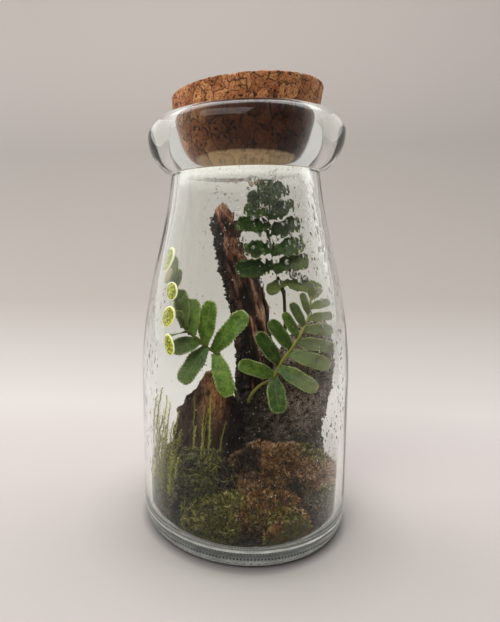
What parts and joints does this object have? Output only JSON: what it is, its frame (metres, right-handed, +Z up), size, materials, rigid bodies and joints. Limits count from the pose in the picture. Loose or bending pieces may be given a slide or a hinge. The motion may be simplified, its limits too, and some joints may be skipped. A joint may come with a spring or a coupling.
{
  "type": "glass plant terrarium",
  "caption": "Closed bottle terrarium: a clear glass jar with rolled lip and cork stopper, holding moss, fern fronds, driftwood and bark on dark soil.",
  "frame": {"origin": "on the jar's axis at the plane of the ring that the jar stands on", "axes": "+Z up along the jar's axis, -Y towards the side seen in the picture, +X to that viewer's right"},
  "size_m": [0.072, 0.072, 0.1478],
  "materials": {
    "glass": "clear polished",
    "cork": "matt granular cork",
    "soil": "rough damp",
    "driftwood": "rough fibrous",
    "bark": "rough",
    "peat": "rough fibrous",
    "fern": "satin leaf",
    "fern_dark": "satin leaf",
    "moss_sprig": "soft feathery",
    "moss_green": "soft granular",
    "moss_rust": "soft granular",
    "moss_grey": "soft granular",
    "moss_brown": "soft granular"
  },
  "bodies": {
    "root": {"glass_jar": "glass", "cork_stopper": "cork", "soil_bed": "soil", "driftwood_tall": "driftwood", "bark_chunk": "bark", "root_mass": "peat", "fern_frond_right": "fern", "fern_frond_left": "fern", "fern_frond_back": "fern_dark", "feather_moss_wall": "moss_sprig", "moss_front_green": "moss_green", "moss_front_rust": "moss_rust", "moss_front_right": "moss_green", "moss_right": "moss_grey", "moss_mound": "moss_brown", "moss_left": "moss_green", "moss_back": "moss_green"}
  },
  "joints": []
}
